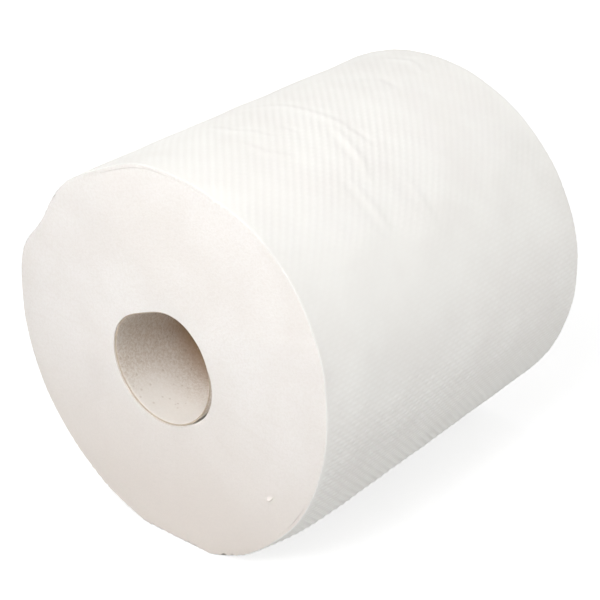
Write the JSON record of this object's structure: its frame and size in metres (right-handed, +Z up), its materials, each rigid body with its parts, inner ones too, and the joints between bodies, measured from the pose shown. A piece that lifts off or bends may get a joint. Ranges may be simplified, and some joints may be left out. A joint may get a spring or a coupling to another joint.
{
  "type": "paper towel roll",
  "caption": "Centre-feed paper towel roll lying on its side: embossed web wound on a cardboard core, with a pressed-in core mouth and a small flat spot.",
  "frame": {"origin": "on the floor under the middle of the roll, at the bottom centre of its bounding box", "axes": "+Y runs along the roll from the face with the pressed-in core mouth to the far face, +Z is up, +X is to the right when looking along +Y"},
  "size_m": [0.1958, 0.2, 0.1943],
  "materials": {
    "paper": "soft embossed tissue, matt",
    "cardboard": "grey recycled board, matt, finely flecked"
  },
  "bodies": {
    "root": {"towel_web": "paper", "core_tube": "cardboard"}
  },
  "joints": []
}
